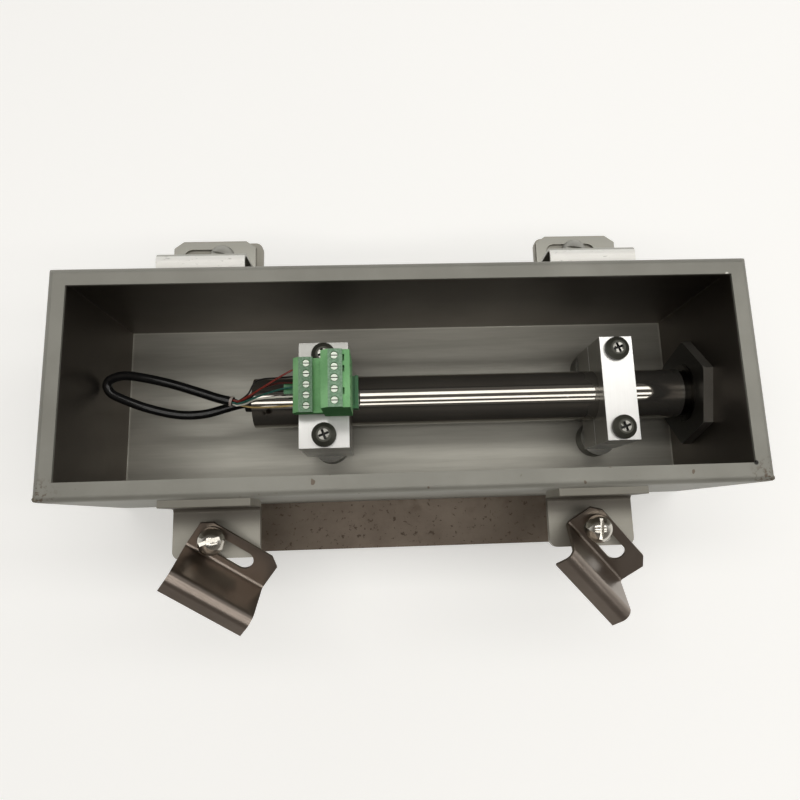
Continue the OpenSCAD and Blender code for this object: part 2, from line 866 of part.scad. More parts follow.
module lead_black() {
    color([0.05, 0.04, 0.04])
        lead(180, [[-23.4, -1.2, -7.3], [-20, 3.6, -5.1], [-15.4, 5.2, -3.3],
            [-7.4, 5, -0.6], [-0.8, 4.8, 1.9], [0.8, 4.8, 2.1], [2.4, 4.8, 2.1]]);
}

module lead_brown() {
    color([0.24, 0.07, 0.06])
        lead(240, [[-23, -2.4, -8.9], [-16.6, 1, -5.7], [-8.4, 2.2, -0.6],
            [-0.8, 1.8, 1.9], [0.8, 1.6, 2.1], [2.4, 1.6, 2.1]]);
}

module lead_green() {
    color([0.10, 0.34, 0.28])
        lead(60, [[-25, -5, -7.3], [-16, -2.6, -3.7], [-6.8, -0.9, 0.3],
            [-0.8, -0.3, 1.9], [0.8, -0.2, 2.1], [2.4, -0.2, 2.1]]);
}

module lead_white() {
    color([0.82, 0.82, 0.78])
        lead(0, [[-24.6, -5.6, -8.9], [-19.6, -4.2, -6.3], [-10, -4.4, -1.5],
            [-0.8, -4.8, 1.9], [0.8, -4.8, 2.1], [2.4, -4.8, 2.1]]);
}

module lead_yellow() {
    color([0.68, 0.58, 0.30])
        lead(308, [[-26.2, -6.4, -11], [-20.6, -7.7, -8.5], [-11, -8.8, -2.5],
            [-0.8, -9.2, 1.9], [0.8, -9.2, 2.1], [2.4, -9.2, 2.1]]);
}

enclosure();
mounting_plate();
bracket_front_left();
bracket_front_right();
bracket_rear_left();
bracket_rear_right();
clamp_front_left();
clamp_front_right();
clamp_rear_left();
clamp_rear_right();
clamp_screws_front();
clamp_screws_rear();
transducer_tube();
winding_former();
rear_cap();
cable_gland();
front_fitting();
inner_locknut();
outer_locknut();
plunger_rod();
magnetic_core();
contact_tip();
block_left_cap();
block_left_base();
block_right_cap();
block_right_base();
block_spacers();
block_screws();
terminal_base();
terminal_strip_lower();
terminal_strip_upper();
terminal_screws_lower();
terminal_screws_upper();
sensor_cable();
cable_ring();
lead_red();
lead_black();
lead_brown();
lead_green();
lead_white();
lead_yellow();
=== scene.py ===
# %% [markdown]
# # A displacement transducer in its open steel case
#
# The part is a case expansion transducer: a polished tube with a plunger, held by two split
# blocks in a folded stainless box, with a pluggable terminal block on the left support, four
# cover clamps on angle brackets and a mounting plate underneath. The CAD model gives every
# solid its size and place. This script gives it the looks: camera and light, the cable and its
# leads as smooth tubes, small details that a solid model leaves out, and a material for every
# piece. All lengths are in metres unless a name ends in `_mm`.

import json
import math

import bmesh
import bpy
from mathutils import Matrix, Vector, noise


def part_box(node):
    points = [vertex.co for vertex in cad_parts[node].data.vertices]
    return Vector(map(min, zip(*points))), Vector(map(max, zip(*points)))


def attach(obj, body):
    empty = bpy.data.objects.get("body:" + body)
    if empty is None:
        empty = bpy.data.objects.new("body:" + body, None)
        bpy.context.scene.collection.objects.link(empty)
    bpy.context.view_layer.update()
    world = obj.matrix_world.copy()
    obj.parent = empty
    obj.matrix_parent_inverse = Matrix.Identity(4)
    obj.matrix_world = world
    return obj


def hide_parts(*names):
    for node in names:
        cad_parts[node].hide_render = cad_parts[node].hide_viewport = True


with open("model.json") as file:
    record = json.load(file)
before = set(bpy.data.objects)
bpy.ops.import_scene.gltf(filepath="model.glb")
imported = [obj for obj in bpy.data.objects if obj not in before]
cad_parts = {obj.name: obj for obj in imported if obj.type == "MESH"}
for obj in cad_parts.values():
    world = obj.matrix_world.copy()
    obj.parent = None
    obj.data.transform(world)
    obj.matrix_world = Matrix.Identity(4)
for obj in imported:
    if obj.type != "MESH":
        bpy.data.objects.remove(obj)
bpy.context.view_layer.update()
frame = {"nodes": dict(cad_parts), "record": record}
nodes = frame["nodes"]
scene = bpy.context.scene
MM = 0.001

# %% [markdown]
# ## Places that the details share
#
# Everything that sits on a CAD piece is placed from that piece's box, so a detail follows its
# carrier when the part is repacked with another size. `low` and `high` are the corners of a
# node's box at rest.


# %% Boxes of the carriers
def low(node):
    return Vector(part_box(node)[0])


def high(node):
    return Vector(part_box(node)[1])


def middle(node):
    return (low(node) + high(node)) / 2


tube_mid = middle("transducer_tube")
tube_rear = low("transducer_tube").x
rim_z = high("enclosure").z
print("tube axis at y %.4f, z %.4f" % (tube_mid.y, tube_mid.z))

# %% [markdown]
# ## The camera first
#
# The picture was taken from almost straight above, a little in front of the box. A pinhole
# camera fitted to the box's rim and floor gives the three turns and the distance below. The
# matrix goes from the world to the camera, so the camera object gets its transpose.


# %% Camera
def add_camera():
    turn = Matrix.Rotation(0.0247, 3, "Z") @ Matrix.Rotation(0.0381, 3, "Y")
    turn = turn @ Matrix.Rotation(-0.1879, 3, "X")
    lens_data = bpy.data.cameras.new("camera")
    lens_data.sensor_width = 36.0
    lens_data.lens = 29.08
    lens_data.shift_x = -0.0096
    lens_data.shift_y = -0.0008
    lens_data.clip_start = 0.01
    camera = bpy.data.objects.new("camera", lens_data)
    from_turn = Vector((-0.0363, -10.7446, 273.2086)) * MM
    place = turn.transposed() @ from_turn + Vector((0, 0, rim_z))
    camera.matrix_world = Matrix.Translation(place) @ turn.transposed().to_4x4()
    scene.collection.objects.link(camera)
    scene.camera = camera
    return camera


camera = add_camera()
print("camera at", [round(v, 4) for v in camera.location])

# %% [markdown]
# ## Floor and light
#
# The floor is a plain pale sheet that keeps the soft shadow. Three long soft strips run along
# the box above it, like the tubes of a workshop ceiling: the polished tube shows each of them
# as a thin bright line along its length, and nothing else would. The world is pale at the
# back and dark overhead and in front, where the photographer stood, which is what makes
# bare steel look dark. The floor is painted later, once the materials' helpers exist.


# %% Floor, lamps and world
LAMP_RADIANCE = 3.0


def add_floor(size=3.0):
    sheet = bmesh.new()
    bmesh.ops.create_grid(sheet, x_segments=1, y_segments=1, size=size)
    data = bpy.data.meshes.new("floor")
    sheet.to_mesh(data)
    sheet.free()
    floor = bpy.data.objects.new("floor", data)
    floor.location.z = -0.0002
    scene.collection.objects.link(floor)
    return floor


def add_lamp(name, place, size, power, colour=(1, 0.985, 0.96)):
    data = bpy.data.lights.new(name, "AREA")
    data.shape = "RECTANGLE"
    data.size, data.size_y = size
    data.energy = power
    data.color = colour
    lamp = bpy.data.objects.new(name, data)
    lamp.location = place
    scene.collection.objects.link(lamp)
    return lamp


def add_world():
    """Pale low down at the back, dark low down in front and dark overhead."""
    world = bpy.data.worlds.new("room")
    scene.world = world
    world.use_nodes = True
    tree = world.node_tree
    place = tree.nodes.new("ShaderNodeTexCoord")
    split = tree.nodes.new("ShaderNodeSeparateXYZ")
    tree.links.new(place.outputs["Generated"], split.inputs[0])

    def blend(axis, start, end, first, second):
        ramp = tree.nodes.new("ShaderNodeMapRange")
        ramp.interpolation_type = "SMOOTHSTEP"
        ramp.inputs["From Min"].default_value = start
        ramp.inputs["From Max"].default_value = end
        tree.links.new(split.outputs[axis], ramp.inputs["Value"])
        mixed = tree.nodes.new("ShaderNodeMix")
        mixed.data_type = "RGBA"
        tree.links.new(ramp.outputs[0], mixed.inputs[0])
        for socket, value in ((mixed.inputs[6], first), (mixed.inputs[7], second)):
            if isinstance(value, tuple):
                socket.default_value = value
            else:
                tree.links.new(value, socket)
        return mixed.outputs[2]

    around = blend("Y", -0.5, 0.3, (0.26, 0.24, 0.22, 1), (0.92, 0.92, 0.91, 1))
    sky = blend("Z", 0.1, 0.75, around, (0.13, 0.12, 0.11, 1))
    tree.links.new(sky, tree.nodes["Background"].inputs["Color"])
    tree.nodes["Background"].inputs["Strength"].default_value = 1.0


floor = add_floor()
for index, (side, width) in enumerate([(0.40, 0.30), (-0.178, 0.20), (-0.61, 0.18)]):
    place = Vector((0.42, side, 1.25)) + tube_mid
    size = (2.6, width)
    add_lamp("strip_%d" % index, place, size, LAMP_RADIANCE * math.pi * size[0] * size[1])
add_world()
scene.view_settings.view_transform = "Standard"

# %% [markdown]
# ## A small language for materials
#
# `Field` wraps one shader socket, so the arithmetic of a pattern reads like arithmetic.
# `Paint` owns one material, and its `add` makes any other node from a type, its settings and
# its inputs. Patterns are read at the piece's own coordinates, which are the row frame's
# metres, so a streak or a speck keeps its real size.


# %% Field and Paint
class Field:
    """A shader value that Python's operators work on."""

    def __init__(self, paint, socket):
        self.paint = paint
        self.socket = socket

    def math(self, operation, *others):
        return self.paint.add("ShaderNodeMath", {"operation": operation}, [self, *others])

    def __add__(self, other):
        return self.math("ADD", other)

    def __sub__(self, other):
        return self.math("SUBTRACT", other)

    def __mul__(self, other):
        return self.math("MULTIPLY", other)

    def __truediv__(self, other):
        return self.math("DIVIDE", other)

    def __rsub__(self, other):
        return self.math("MULTIPLY", -1.0) + other

    __radd__ = __add__
    __rmul__ = __mul__

    def step(self, start, end):
        """0 below start, 1 above end and a smooth rise between them."""
        settings = {"interpolation_type": "SMOOTHSTEP"}
        inputs = {"Value": self, "From Min": start, "From Max": end}
        return self.paint.add("ShaderNodeMapRange", settings, inputs)


class Paint:
    """One material, with one Principled shader whose inputs are named by keyword."""

    def __init__(self, name, **constants):
        self.material = bpy.data.materials.new(name)
        self.material.use_nodes = True
        self.tree = self.material.node_tree
        self.shader = self.tree.nodes["Principled BSDF"]
        self.set(**constants)

    def put(self, socket, value):
        if isinstance(value, Field):
            self.tree.links.new(value.socket, socket)
        else:
            socket.default_value = value

    def set(self, **inputs):
        for key, value in inputs.items():
            self.put(self.shader.inputs[key.replace("_", " ")], value)

    def add(self, kind, settings, inputs, output=0):
        node = self.tree.nodes.new(kind)
        for key, value in settings.items():
            setattr(node, key, value)
        pairs = inputs.items() if isinstance(inputs, dict) else enumerate(inputs)
        for key, value in pairs:
            self.put(node.inputs[key], value)
        return Field(self, node.outputs[output])

    def place(self, scale=(1, 1, 1)):
        here = self.add("ShaderNodeTexCoord", {}, {}, "Object")
        return self.add("ShaderNodeVectorMath", {"operation": "MULTIPLY"}, [here, scale])

    def axis(self, index):
        return self.add("ShaderNodeSeparateXYZ", {}, [self.place()], index)

    def noise(self, scale, detail=2.0, rough=0.5):
        """Cloudy pattern from 0 to 1, scale in waves per metre along each axis."""
        inputs = {"Vector": self.place(scale), "Scale": 1.0, "Detail": detail, "Roughness": rough}
        return self.add("ShaderNodeTexNoise", {}, inputs)

    def near(self, spot, core, edge):
        """1 within core of a point, falling to 0 at edge."""
        settings = {"operation": "DISTANCE"}
        away = self.add("ShaderNodeVectorMath", settings, [self.place(), spot], "Value")
        return 1.0 - away.step(core, edge)

    def mix(self, factor, a, b):
        return self.add("ShaderNodeMix", {"data_type": "RGBA"}, {0: factor, 6: a, 7: b}, 2)

    def bump(self, height, depth):
        inputs = {"Height": height, "Distance": depth, "Strength": 1.0}
        self.set(Normal=self.add("ShaderNodeBump", {}, inputs))


def rgb(red, green, blue):
    """A colour typed as it looks on a screen, turned to the linear light that shaders use."""
    return tuple(((v / 255 + 0.055) / 1.055) ** 2.4 for v in (red, green, blue)) + (1.0,)


def paint_floor():
    """Pale paper that looks almost white to the camera and still takes the shadow."""
    paint = Paint("floor", Roughness=0.9, Specular_IOR_Level=0.1)
    cloud = paint.noise((3, 3, 3), detail=2.0)
    paint.set(Base_Color=paint.mix(cloud, rgb(241, 241, 239), rgb(246, 246, 244)))
    seen = paint.add("ShaderNodeLightPath", {}, {}, "Is Camera Ray")
    mirrored = paint.add("ShaderNodeLightPath", {}, {}, "Is Glossy Ray")
    seen = seen.math("MAXIMUM", mirrored)
    paint.set(Emission_Color=paint.mix(seen, rgb(0, 0, 0), FLOOR_GLOW), Emission_Strength=1.0)
    return paint.material


FLOOR_GLOW = (0.28, 0.28, 0.277, 1.0)
floor.data.materials.append(paint_floor())
print("materials:", len(bpy.data.materials))

# %% [markdown]
# ## Bare steel
#
# All the sheet metal here is stainless with a rolled grain. The grain is noise stretched
# along one axis: long waves along the rolling direction, very short ones across it. It moves
# the colour a little, the roughness more, and it gives a faint ripple to the normal. Slow
# clouds add the handling marks.


# %% Rolled and brushed steel
LONG, CROSS = 30.0, 1500.0
GRAIN = {
    "X": (LONG, CROSS, CROSS),
    "Y": (CROSS, LONG, CROSS),
    "Z": (CROSS, CROSS, LONG),
}


def steel(name, dark, light, along="X", rough=0.34, metal=1.0, grain=0.5, cloud=30.0,
          swing=0.16, ripple=0.02):
    """Rolled metal; swing is how much the grain moves the roughness, ripple is in mm."""
    paint = Paint(name, Metallic=metal)
    streak = paint.noise(GRAIN[along], detail=3.0, rough=0.6)
    slow = paint.noise((cloud, cloud, cloud), detail=4.0, rough=0.55)
    tone = (streak - 0.5) * grain + slow
    paint.tone = tone
    paint.colour = paint.mix(tone.step(0.25, 0.8), dark, light)
    paint.rough = rough + (streak - 0.5) * swing + (slow - 0.5) * swing * 0.6
    paint.set(Base_Color=paint.colour, Roughness=paint.rough)
    paint.bump(streak, ripple * MM)
    return paint


print("grain directions:", ", ".join(GRAIN))

# %% [markdown]
# ## The enclosure's sheet
#
# One solid has three very different faces. The rim is dull and even. The inner walls mirror
# each other and the floor, and their colour is painted much darker as well, as painted shade,
# darker still towards the rim. The floor is pale again, with soft streaks along the box and a
# thin painted highlight where it meets the walls. Masks made from the position tell the three
# apart. The weld ends at the front corners are rusty, a few small dots sit on the front rim,
# and a painted glint sits near the rim's rear right corner.


# %% Enclosure steel
SHEET_T = 2.4 * MM
LIP = 7.9 * MM


def enclosure_steel():
    """Dull sheet with inner walls painted dark as painted shade, a streaked floor and rusty corners.
    """
    paint = Paint("enclosure_steel")
    half = (high("enclosure") - low("enclosure")) / 2
    centre = middle("enclosure")
    x, y, z = (paint.axis(index) for index in range(3))
    from_x = (x - centre.x).math("ABSOLUTE")
    from_y = (y - centre.y).math("ABSOLUTE")
    floor_z = low("enclosure").z + SHEET_T
    to_end = (half.x - SHEET_T) - from_x
    to_side = (half.y - SHEET_T) - from_y
    inside = (to_end + 0.6 * MM).step(0.0, 0.2 * MM) * (to_side + 0.6 * MM).step(0.0, 0.2 * MM)
    inside = inside * (rim_z - 1.0 * MM - z).step(0.0, 0.5 * MM)
    bottom = inside * (floor_z + 0.6 * MM - z).step(0.0, 0.3 * MM)

    cloud = paint.noise((28, 28, 28), detail=4.0, rough=0.55)
    streak = paint.noise((9, 150, 150), detail=3.0, rough=0.6)
    fine = paint.noise((60, 900, 900), detail=2.0)
    rim = paint.mix(cloud.step(0.3, 0.7), rgb(136, 135, 127), rgb(150, 149, 141))
    # Painted shade: the inner walls are coloured darker than the rim, and darker still higher up.
    up = (z - floor_z).step(0.0, 55 * MM)
    wall = paint.mix(up + (cloud - 0.5) * 0.4, rgb(112, 105, 98), rgb(94, 88, 82))
    tone = streak * 0.75 + fine * 0.25
    sheet = paint.mix(tone.step(0.3, 0.7), rgb(170, 168, 158), rgb(188, 186, 176))
    # Painted highlight: a thin bright line on the floor where it meets the walls.
    line = bottom * (1.0 - to_end.math("MINIMUM", to_side).step(0.5 * MM, 1.0 * MM))
    sheet = paint.mix(line * 0.6, sheet, rgb(205, 203, 193))
    colour = paint.mix(inside, rim, paint.mix(bottom, wall, sheet))

    speck = paint.noise((650, 650, 650), detail=3.0, rough=0.6)
    rust = 0.0
    for side in (-1, 1):
        corner = centre + Vector((side * half.x, -half.y, half.z))
        rust = paint.near(corner, 3 * MM, 14 * MM) + rust
    rust = rust * speck.step(0.52, 0.62)
    dots = paint.noise((260, 260, 260), detail=1.0).step(0.74, 0.77)
    dots = dots * (centre.y - half.y + 9 * MM - y).step(0.0, 1 * MM)
    colour = paint.mix((rust * 0.75 + dots * 0.7).math("MINIMUM", 1.0), colour, rgb(92, 72, 54))
    pit = centre + Vector((half.x - LIP, LIP - half.y, half.z))
    colour = paint.mix(paint.near(pit, 0.7 * MM, 1.3 * MM), colour, rgb(34, 32, 29))
    # Painted glint: a small bright spot near the rear right corner of the rim.
    rim_glint_spot = centre + Vector((half.x - LIP - 2 * MM, half.y - LIP, half.z))
    colour = paint.mix(paint.near(rim_glint_spot, 0.4 * MM, 1.0 * MM), colour, rgb(225, 224, 216))

    paint.set(Base_Color=colour, Metallic=0.45 + inside * 0.5 - bottom * 0.4)
    paint.set(Roughness=0.52 + (cloud - 0.5) * 0.12 - inside * 0.08 + rust * 0.15)
    paint.bump(fine * 0.4 + speck * rust, 0.00006)
    return paint.material


print("inner walls at x %.1f mm" % (high("enclosure").x / MM - SHEET_T / MM))

# %% [markdown]
# ## Steel with marks
#
# The tube is polished, so it mirrors the dark room and the three strips. It has a small pale
# dot on top and a dark brown patch near its cable end. The mounting plate is dark and
# pitted, and the weld ends are brown.


# %% Marked steels
def tube_steel():
    paint = steel("tube_steel", rgb(166, 162, 154), rgb(182, 178, 170), rough=0.045, metal=0.9,
                  grain=0.2, swing=0.01, ripple=0.001)
    top = tube_mid.z + 12.3 * MM
    dot = Vector((tube_rear + 157.2 * MM, tube_mid.y - 3.0 * MM, top))
    patch = Vector((tube_rear + 7.6 * MM, tube_mid.y - 6.4 * MM, top - 1.4 * MM))
    blot = paint.noise((500, 500, 500), detail=2.0).step(0.42, 0.52)
    colour = paint.mix(paint.near(dot, 0.4 * MM, 0.8 * MM), paint.colour, rgb(214, 212, 204))
    colour = paint.mix(paint.near(patch, 1.4 * MM, 3.2 * MM) * blot, colour, rgb(60, 52, 44))
    paint.set(Base_Color=colour)
    return paint.material


def pitted(name, dark, light, pit, metal=0.7, rough=0.5):
    """Dull steel with small pits and stains."""
    paint = steel(name, dark, light, rough=rough, metal=metal, grain=0.15, cloud=45.0)
    speck = paint.noise((420, 420, 420), detail=3.0, rough=0.65)
    spots = speck.step(0.6, 0.66)
    stain = paint.noise((70, 70, 70), detail=4.0).step(0.55, 0.75)
    colour = paint.mix((spots * 0.5 + stain * 0.4).math("MINIMUM", 1.0), paint.colour, pit)
    paint.set(Base_Color=colour, Roughness=paint.rough + spots * 0.2)
    paint.bump(speck, 0.00005)
    return paint.material


def terminal_screw():
    """Plated screws whose slots are painted dark, as painted shade."""
    paint = steel("terminal_metal", rgb(220, 230, 214), rgb(240, 248, 234), "Y", rough=0.3,
                  metal=0.25, swing=0.08, ripple=0.004)
    z = paint.axis(2)
    first = high("terminal_screws_lower").z - 0.3 * MM
    second = high("terminal_screws_upper").z - 0.3 * MM
    # Painted shade: the slot floors of both rows of screws are painted dark.
    tall = (z - first - 5 * MM).step(0.0, 0.1 * MM)
    slot = (first - z).step(0.0, 0.05 * MM) + tall * (second - z).step(0.0, 0.05 * MM)
    paint.set(Base_Color=paint.mix(slot, paint.colour, rgb(66, 70, 60)))
    return paint.material


def black_screw():
    """Blackened pan heads; the cross recess is painted dark as shade, with painted glints of bright
    metal between its arms.
    """
    paint = steel("black_screw", rgb(66, 66, 58), rgb(88, 88, 79), rough=0.46, metal=0.35,
                  grain=0.2, swing=0.06, ripple=0.004)
    box = low("block_screws"), high("block_screws")
    head_r = 5.9 * MM
    apart = (box[1].y - box[0].y) / 2 - head_r
    x, y, z = (paint.axis(index) for index in range(3))
    to_left = (x - box[0].x - head_r).math("ABSOLUTE")
    to_right = (x - box[1].x + head_r).math("ABSOLUTE")
    across = ((y - tube_mid.y).math("ABSOLUTE") - apart).math("ABSOLUTE")
    along = to_left.math("MINIMUM", to_right)
    away = (along * along + across * across).math("SQRT")
    crown = (z - box[1].z + 0.1 * MM).step(0.0, 0.05 * MM)
    # Painted shade: the cross recess under the crown is painted near black.
    recess = (1.0 - away.step(2.4 * MM, 2.7 * MM)) * (1.0 - crown)
    # Painted glints: bright spots on the crown between the recess's arms.
    glint_breakup = paint.noise((500, 500, 500), detail=1.0).step(0.34, 0.46)
    painted_glint_spots = crown * (1.0 - away.step(2.3 * MM, 2.9 * MM)) * glint_breakup
    colour = paint.mix(painted_glint_spots, paint.colour, rgb(206, 205, 197))
    colour = paint.mix(recess, colour, rgb(26, 25, 23))
    paint.set(Base_Color=colour, Roughness=paint.rough - painted_glint_spots * 0.2)
    return paint.material


def clamp_steel():
    """Smooth brown spring steel; the two closed clamps are painted greyer and lighter, as painted
    light, with painted highlights on their hooks.
    """
    paint = steel("clamp_steel", rgb(134, 124, 115), rgb(150, 140, 131), rough=0.32, grain=0.12,
                  swing=0.05, ripple=0.003)
    # Painted light: the rear, closed clamps are a lighter, greyer copy of the same steel.
    behind = paint.axis(1).step(0.0, 1 * MM)
    colour = paint.mix(behind, paint.colour, rgb(160, 159, 151))
    facing = paint.add("ShaderNodeSeparateXYZ", {}, [paint.add(
        "ShaderNodeNewGeometry", {}, {}, "True Normal")], 2)
    y, z = paint.axis(1), paint.axis(2)
    # Painted highlight: the rear hooks' upward faces are painted near white, broken into spots by
    # noise.
    hook = facing.step(0.75, 0.9) * (y - high("enclosure").y + 2 * MM).step(0.0, 1 * MM)
    hook = hook * (z - high("clamp_rear_left").z + 4.5 * MM).step(0.0, 0.5 * MM)
    painted_glint_spots = paint.noise((240, 900, 900), detail=3.0, rough=0.6).step(0.3, 0.38)
    hook_painted_highlight = hook * (0.55 + 0.45 * painted_glint_spots)
    paint.set(Base_Color=paint.mix(hook_painted_highlight, colour, rgb(248, 247, 242)))
    paint.set(Metallic=1.0 - hook_painted_highlight * 0.7, Roughness=paint.rough + hook_painted_highlight * 0.2)
    return paint.material


def clamp_screw_steel():
    """Polished heads in front, dull ones behind."""
    paint = steel("bright_screw", rgb(190, 186, 177), rgb(212, 208, 199), rough=0.16, grain=0.2,
                  swing=0.06, ripple=0.006)
    # Painted shade: the rear heads get a darker colour than the front ones, besides being duller.
    behind = paint.axis(1).step(0.0, 1 * MM)
    colour = paint.mix(behind, paint.colour, rgb(168, 167, 160))
    paint.set(Base_Color=colour, Metallic=1.0 - behind * 0.45, Roughness=paint.rough + behind * 0.3)
    return paint.material


def bracket_steel():
    """Dull angle; the front flanges are painted darker towards the wall, a painted reflection of the
    wall they face.
    """
    paint = steel("bracket_steel", rgb(150, 147, 137), rgb(172, 169, 159), rough=0.5,
                  metal=0.5, grain=0.2)
    # Painted reflection: a dark band on the front flanges near the wall.
    away = low("enclosure").y - paint.axis(1)
    shade = away.step(2.6 * MM, 3.4 * MM) * (1.0 - away.step(4 * MM, 15 * MM))
    paint.set(Base_Color=paint.mix(shade * 0.8, paint.colour, rgb(72, 65, 56)))
    return paint.material


def block_aluminium():
    """Bright machined tops; the sides are painted darker, and a soft grey is painted where the
    terminal block looms, both as painted shade.
    """
    paint = steel("block_aluminium", rgb(236, 236, 233), rgb(250, 250, 248), "Y", rough=0.3,
                  metal=0.6, grain=0.25, swing=0.08)
    normal = paint.add("ShaderNodeNewGeometry", {}, {}, "True Normal")
    # Painted shade: faces turned to the sides are painted darker.
    side = paint.add("ShaderNodeSeparateXYZ", {}, [normal], 0).math("ABSOLUTE").step(0.5, 0.8)
    # Painted shade: a soft grey on the top just in front of the terminal block.
    below = low("terminal_base").y - paint.axis(1)
    near = (high("terminal_strip_upper").x + 1 * MM - paint.axis(0)).step(0.0, 1 * MM)
    shade = near * (1.0 - below.step(0.5 * MM, 6 * MM))
    colour = paint.mix(shade * 0.7, paint.colour, rgb(120, 120, 112))
    paint.set(Base_Color=paint.mix(side, colour, rgb(146, 143, 136)))
    return paint.material


def nut_steel():
    """Dull nut whose end faces, turned along the tube, are painted darker than its flats, as painted
    shade.
    """
    paint = steel("nut_metal", rgb(126, 123, 116), rgb(146, 143, 135), "Z", rough=0.38,
                  metal=0.6, grain=0.3)
    normal = paint.add("ShaderNodeNewGeometry", {}, {}, "True Normal")
    # Painted shade: the end faces are painted darker than the flats.
    along = paint.add("ShaderNodeSeparateXYZ", {}, [normal], 0).math("ABSOLUTE")
    paint.set(Base_Color=paint.mix(along.step(0.5, 0.8), paint.colour, rgb(58, 56, 51)))
    return paint.material


def plain_steel(name, dark, light, along="X", **settings):
    return steel(name, dark, light, along, **settings).material


materials = {
    "enclosure_steel": enclosure_steel(),
    "tube_steel": tube_steel(),
    "plate_steel": pitted("plate_steel", rgb(106, 95, 84), rgb(126, 115, 103), rgb(78, 63, 51)),
    "weld_steel": pitted("weld_steel", rgb(104, 98, 86), rgb(140, 136, 124), rgb(86, 64, 46)),
    "bracket_steel": bracket_steel(),
    "clamp_steel": clamp_steel(),
    "bright_screw": clamp_screw_steel(),
    # Partly painted shade: the fitting is coloured near black, as its neck sits in shadow.
    "fitting_steel": plain_steel(
        "fitting_steel", rgb(62, 60, 55), rgb(84, 81, 75), "Y", rough=0.3),
    "nut_metal": nut_steel(),
    "rod_steel": plain_steel("rod_steel", rgb(186, 184, 178), rgb(205, 203, 198), rough=0.16),
    "core_iron": plain_steel("core_iron", rgb(110, 110, 112), rgb(130, 130, 132), rough=0.4),
    "block_aluminium": block_aluminium(),
    # Painted shade: the spacers under the blocks are coloured a dark grey, as in the blocks' shadow.
    "spacer_aluminium": plain_steel(
        "spacer_aluminium", rgb(96, 95, 90), rgb(122, 121, 115), "Z", rough=0.4),
    "terminal_metal": terminal_screw(),
    "black_screw": black_screw(),
}
print("steels:", len(materials))

# %% [markdown]
# ## Plastics and rubber
#
# Moulded plastic has a fine orange-peel skin: short-wave noise in the roughness and the
# bump, and a speckle where the moulding is filled with glass.


# %% Plastics
def plastic(name, dark, light, rough=0.35, speckle=900.0, amount=0.35, peel=0.00002, coat=0.0):
    paint = Paint(name, Metallic=0.0, Coat_Weight=coat)
    speck = paint.noise((speckle, speckle, speckle), detail=2.0, rough=0.6)
    slow = paint.noise((40, 40, 40), detail=3.0)
    tone = (speck - 0.5) * amount * 2 + slow
    paint.set(Base_Color=paint.mix(tone.step(0.2, 0.8), dark, light))
    paint.set(Roughness=rough + (speck - 0.5) * 0.2)
    paint.bump(speck, peel)
    return paint.material


def terminal_green():
    """Green moulding; flat tops, cut by the saw, are greyer, and the front ends are painted darker, as
    painted shade.
    """
    paint = Paint("green_plastic", Metallic=0.0, Specular_IOR_Level=0.1)
    grain = paint.noise((1300, 1300, 1300), detail=2.0, rough=0.7)
    slow = paint.noise((60, 60, 60), detail=3.0)
    normal = paint.add("ShaderNodeNewGeometry", {}, {}, "True Normal")
    facing = paint.add("ShaderNodeSeparateXYZ", {}, [normal], 2)
    ends = 0.0 - paint.add("ShaderNodeSeparateXYZ", {}, [normal], 1)
    lower = low("terminal_strip_lower")
    z = paint.axis(2)
    x = paint.axis(0)
    crown = facing.step(0.9, 0.98)
    on_lower = (high("terminal_strip_lower").x + 0.2 * MM - x).step(0.0, 0.1 * MM)
    crown_low = (z - lower.z - 6.5 * MM).step(0.0, 0.2 * MM) * on_lower
    crown_high = (z - lower.z - 24.5 * MM).step(0.0, 0.2 * MM)
    band = crown * (crown_low + crown_high)
    tone = (slow + (grain - 0.5) * 0.3).step(0.3, 0.7)
    body = paint.mix(tone, rgb(128, 186, 128), rgb(152, 210, 150))
    # Painted shade: faces turned to the front are painted darker.
    ends = ends.step(0.5, 0.8)
    body = paint.mix(ends, body, rgb(82, 142, 86))
    cut = paint.mix(grain.step(0.35, 0.65), rgb(116, 150, 122), rgb(148, 180, 152))
    paint.set(Base_Color=paint.mix(band, body, cut), Roughness=0.42 + band * 0.15 + ends * 0.4)
    paint.bump(grain, 0.00002)
    return paint.material


materials.update({
    "winding": plastic("winding", rgb(120, 78, 40), rgb(158, 104, 58)),
    "dark_cap": plastic("dark_cap", rgb(20, 20, 20), rgb(34, 33, 32), rough=0.5),
    "black_rubber": plastic("black_rubber", rgb(16, 16, 16), rgb(28, 28, 27), rough=0.6),
    "green_dark": plastic("green_dark", rgb(46, 108, 64), rgb(62, 130, 80)),
    "green_plastic": terminal_green(),
    "black_jacket": plastic("black_jacket", rgb(13, 13, 13), rgb(26, 26, 26), rough=0.22, speckle=300),
    "pale_ring": plastic("pale_ring", rgb(146, 132, 124), rgb(178, 166, 158)),
    "wire_red": plastic("wire_red", rgb(112, 36, 28), rgb(150, 56, 44), rough=0.3),
    "wire_black": plastic("wire_black", rgb(18, 16, 16), rgb(32, 28, 28), rough=0.3),
    "wire_brown": plastic("wire_brown", rgb(66, 24, 22), rgb(92, 38, 32), rough=0.3),
    "wire_green": plastic("wire_green", rgb(28, 78, 68), rgb(44, 104, 92), rough=0.3),
    "wire_white": plastic("wire_white", rgb(206, 204, 190), rgb(232, 230, 218), rough=0.3),
    "wire_yellow": plastic("wire_yellow", rgb(160, 136, 84), rgb(202, 178, 120), rough=0.35),
})

for part in frame["record"]["subparts"]:
    piece = nodes[part["node"]]
    for holder in piece.material_slots:
        holder.material = materials[part["material_slot"]]
print("materials:", len(materials))

# %% [markdown]
# ## Weld ends at the rim's corners
#
# The box is folded from one sheet and welded at its corners. The ends of the front welds
# stand out as small brown lumps. Each lump is a ball that noise pushes about, sunk in the
# rounded corner and kept inside the box's outline, so the part's size doesn't change.


